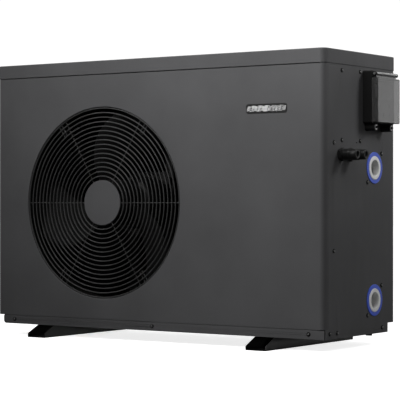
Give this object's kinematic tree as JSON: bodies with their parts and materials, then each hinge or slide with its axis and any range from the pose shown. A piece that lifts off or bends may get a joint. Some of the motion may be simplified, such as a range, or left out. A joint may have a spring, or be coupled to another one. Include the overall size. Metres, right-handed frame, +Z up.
{
  "type": "heat pump unit",
  "caption": "Outdoor pool heat pump: guarded axial fan in a sheet-metal casing on two channel feet, with side water ports, cable glands and a covered control box.",
  "frame": {"origin": "on the ground, at the centre of the four anchor slots in the feet", "axes": "+X towards the service side with the water ports, -Y out of the fan side, +Z up"},
  "size_m": [0.9324, 0.366, 0.626],
  "materials": {
    "case_paint": "fine-textured anthracite powder coat",
    "foot_paint": "black powder coat",
    "guard_wire": "satin black coated wire",
    "dark_screw": "black zinc",
    "galvanised": "galvanised sheet",
    "plain_steel": "zinc-plated",
    "fan_plastic": "black moulded glass-filled plastic",
    "box_plastic": "black moulded plastic, fine grain",
    "gland_plastic": "black nylon",
    "button_rubber": "grey silicone rubber",
    "smoke_clear": "smoked clear polycarbonate",
    "display_window": "dark tinted display window",
    "machine_paint": "black baked enamel",
    "fin_aluminium": "fin stock with a black epoxy coat",
    "copper": "drawn copper tube",
    "valve_brass": "forged brass",
    "valve_coil_plastic": "encapsulated coil",
    "grommet_rubber": "moulded rubber",
    "vessel_plastic": "grey moulded vessel",
    "titanium": "drawn titanium tube",
    "socket_white": "white moulded socket",
    "ring_blue": "blue moulded ring",
    "board_green": "solder-masked board with components",
    "can_aluminium": "drawn can",
    "block_plastic": "cream terminal moulding",
    "badge_metal": "satin plate with no lettering"
  },
  "bodies": {
    "casing": {"base_tray": "case_paint", "foot_left": "foot_paint", "foot_right": "foot_paint", "drain_nipple": "gland_plastic", "front_panel": "case_paint", "top_cover": "case_paint", "right_side_panel": "case_paint", "left_side_panel": "case_paint", "rear_panel": "case_paint", "rear_coil_guard": "guard_wire", "badge_plate": "badge_metal", "casing_screws": "dark_screw", "fan_guard": "guard_wire", "guard_hub_disc": "case_paint", "guard_clips": "fan_plastic", "fan_orifice": "fan_plastic", "fan_motor": "machine_paint", "motor_bracket": "machine_paint", "evaporator_fins": "fin_aluminium", "evaporator_end_plates": "galvanised", "evaporator_tubes": "copper", "partition_plate": "galvanised", "compressor": "machine_paint", "compressor_grommets": "grommet_rubber", "compressor_bolts": "plain_steel", "compressor_terminal_cover": "box_plastic", "accumulator": "machine_paint", "four_way_valve": "valve_brass", "valve_coil": "valve_coil_plastic", "discharge_pipe": "copper", "suction_pipe": "copper", "gas_pipes": "copper", "expansion_valve": "valve_brass", "liquid_pipe": "copper", "heat_exchanger_shell": "vessel_plastic", "titanium_coil": "titanium", "water_sockets": "socket_white", "port_rings": "ring_blue", "flow_switch": "box_plastic", "electrical_box": "galvanised", "electrical_box_lid": "galvanised", "control_board": "board_green", "run_capacitor": "can_aluminium", "terminal_block": "block_plastic", "gland_bodies": "gland_plastic", "gland_caps": "gland_plastic", "gland_locknuts": "gland_plastic", "control_base": "box_plastic", "display_module": "box_plastic", "display_lens": "display_window", "hinge_pin": "plain_steel"},
    "fan": {"fan_impeller": "fan_plastic", "fan_shaft": "plain_steel", "fan_nut": "plain_steel"},
    "cover": {"flip_cover": "smoke_clear"},
    "paddle": {"flow_paddle": "plain_steel"},
    "button_power_body": {"button_power": "button_rubber"},
    "button_mode_body": {"button_mode": "button_rubber"},
    "button_up_body": {"button_up": "button_rubber"},
    "button_down_body": {"button_down": "button_rubber"}
  },
  "joints": [
    {"name": "fan_spin", "type": "hinge", "parent": "casing", "child": "fan", "pos_m": [-0.1375, -0.093, 0.3068], "axis": [0, 1, 0], "continuous": true},
    {"name": "cover_hinge", "type": "hinge", "parent": "casing", "child": "cover", "pos_m": [0.4697, 0.0625, 0.581], "axis": [0, -1, 0], "range_deg": [0, 110]},
    {"name": "paddle_swing", "type": "hinge", "parent": "casing", "child": "paddle", "pos_m": [0.398, 0.064, 0.1195], "axis": [0, 1, 0], "range_deg": [0, 25], "stiffness_Nm_per_rad": 0.01},
    {"name": "button_power_press", "type": "slide", "parent": "casing", "child": "button_power_body", "axis": [-1, 0, 0], "range_m": [0, 0.0008], "stiffness_N_per_m": 800},
    {"name": "button_mode_press", "type": "slide", "parent": "casing", "child": "button_mode_body", "axis": [-1, 0, 0], "range_m": [0, 0.0008], "stiffness_N_per_m": 800},
    {"name": "button_up_press", "type": "slide", "parent": "casing", "child": "button_up_body", "axis": [-1, 0, 0], "range_m": [0, 0.0008], "stiffness_N_per_m": 800},
    {"name": "button_down_press", "type": "slide", "parent": "casing", "child": "button_down_body", "axis": [-1, 0, 0], "range_m": [0, 0.0008], "stiffness_N_per_m": 800}
  ]
}
